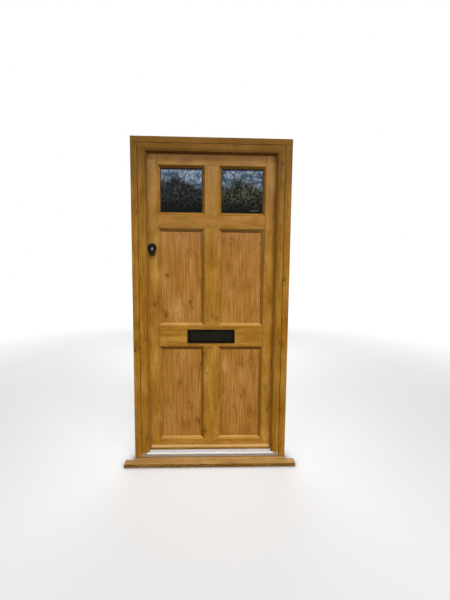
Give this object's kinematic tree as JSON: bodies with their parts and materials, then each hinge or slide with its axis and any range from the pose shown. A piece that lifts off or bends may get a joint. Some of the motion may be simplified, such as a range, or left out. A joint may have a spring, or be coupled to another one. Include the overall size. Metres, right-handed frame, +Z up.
{
  "type": "panelled front door in a frame",
  "caption": "Stained timber front door with glazed top lights, flat panels, black letter plate and finger pull, in a rebated frame with sill and threshold.",
  "frame": {"origin": "midway along the sill's underside, in the plane of the frame's outer face", "axes": "+X to the right seen from outside, +Y into the house, +Z up"},
  "size_m": [1.12, 0.209, 2.105],
  "materials": {
    "frame_timber": "golden brown wood stain, satin",
    "extension_timber": "golden brown wood stain, satin",
    "sill_timber": "golden brown wood stain, satin, paler where it faces up",
    "leaf_timber": "golden brown wood stain, satin",
    "panel_timber": "golden brown wood stain, fine upright grain with small knots",
    "threshold_aluminium": "mill finish",
    "end_block_plastic": "matt",
    "seal_rubber": "matt",
    "glass": "clear, smooth",
    "spacer_bar": "dull",
    "black_metal": "black, satin",
    "sleeve_plastic": "matt",
    "brass": "satin",
    "latch_metal": "satin",
    "hinge_steel": "zinc plated, dull",
    "bright_steel": "bright zinc"
  },
  "bodies": {
    "frame": {"sill": "sill_timber", "threshold": "threshold_aluminium", "threshold_end_left": "end_block_plastic", "threshold_end_right": "end_block_plastic", "threshold_seal": "seal_rubber", "jamb_lock": "frame_timber", "jamb_hinge": "frame_timber", "frame_head": "frame_timber", "extension_left": "extension_timber", "extension_right": "extension_timber", "extension_head": "extension_timber", "frame_seals": "seal_rubber", "hinge_frame_plate_bottom": "hinge_steel", "hinge_frame_plate_middle": "hinge_steel", "hinge_frame_plate_top": "hinge_steel", "latch_keep": "latch_metal", "frame_screws": "bright_steel"},
    "leaf": {"stile_lock": "leaf_timber", "stile_hinge": "leaf_timber", "top_rail": "leaf_timber", "mid_rail": "leaf_timber", "lock_rail": "leaf_timber", "bottom_rail": "leaf_timber", "muntin_lower": "leaf_timber", "muntin_middle": "leaf_timber", "muntin_top": "leaf_timber", "panel_middle_left": "panel_timber", "panel_middle_right": "panel_timber", "panel_lower_left": "panel_timber", "panel_lower_right": "panel_timber", "glazing_beads_left": "leaf_timber", "glazing_beads_right": "leaf_timber", "pane_outer_left": "glass", "pane_outer_right": "glass", "pane_inner_left": "glass", "pane_inner_right": "glass", "glass_spacer_left": "spacer_bar", "glass_spacer_right": "spacer_bar", "weather_bar": "sill_timber", "letter_frame_outer": "black_metal", "letter_frame_inner": "black_metal", "letter_sleeve": "sleeve_plastic", "letter_bolts": "bright_steel", "flap_rods": "bright_steel", "flap_springs": "bright_steel", "cylinder_pull": "black_metal", "rim_cylinder": "brass", "latch_case": "latch_metal", "latch_springs": "bright_steel", "leaf_screws": "bright_steel", "hinge_leaf_plate_bottom": "hinge_steel", "hinge_leaf_plate_middle": "hinge_steel", "hinge_leaf_plate_top": "hinge_steel", "hinge_pins": "hinge_steel"},
    "flap_outer": {"letter_flap_outer": "black_metal"},
    "flap_inner": {"letter_flap_inner": "black_metal"},
    "bolt": {"latch_bolt": "brass"},
    "knob": {"latch_knob": "latch_metal"},
    "plug": {"cylinder_plug": "brass"},
    "snib": {"latch_snib": "latch_metal"}
  },
  "joints": [
    {"name": "leaf_swing", "type": "hinge", "parent": "frame", "child": "leaf", "pos_m": [0.4205, 0.096, 1], "axis": [0, 0, -1], "range_deg": [0, 105]},
    {"name": "outer_flap_lift", "type": "hinge", "parent": "leaf", "child": "flap_outer", "pos_m": [0, 0.0428, 0.873], "axis": [-1, 0, 0], "range_deg": [0, 90], "stiffness_Nm_per_rad": 0.1, "springref_deg": -22.92},
    {"name": "inner_flap_lift", "type": "hinge", "parent": "leaf", "child": "flap_inner", "pos_m": [0, 0.0912, 0.873], "axis": [1, 0, 0], "range_deg": [0, 90], "stiffness_Nm_per_rad": 0.1, "springref_deg": -22.92},
    {"name": "knob_turn", "type": "hinge", "parent": "leaf", "child": "knob", "pos_m": [-0.383, 0.115, 1.42], "axis": [0, -1, 0], "range_deg": [0, 60]},
    {"name": "bolt_slide", "type": "slide", "parent": "leaf", "child": "bolt", "axis": [-1, 0, 0], "range_m": [0, 0.014], "stiffness_N_per_m": 60, "springref_m": -0.003},
    {"name": "key_turn", "type": "hinge", "parent": "leaf", "child": "plug", "pos_m": [-0.383, 0.056, 1.42], "axis": [0, 1, 0], "range_deg": [0, 120]},
    {"name": "snib_slide", "type": "slide", "parent": "leaf", "child": "snib", "axis": [1, 0, 0], "range_m": [0, 0.006]}
  ],
  "couplings": [
    {"joint": "knob_turn", "follows": "bolt_slide", "rad_per_m": 74.79}
  ]
}
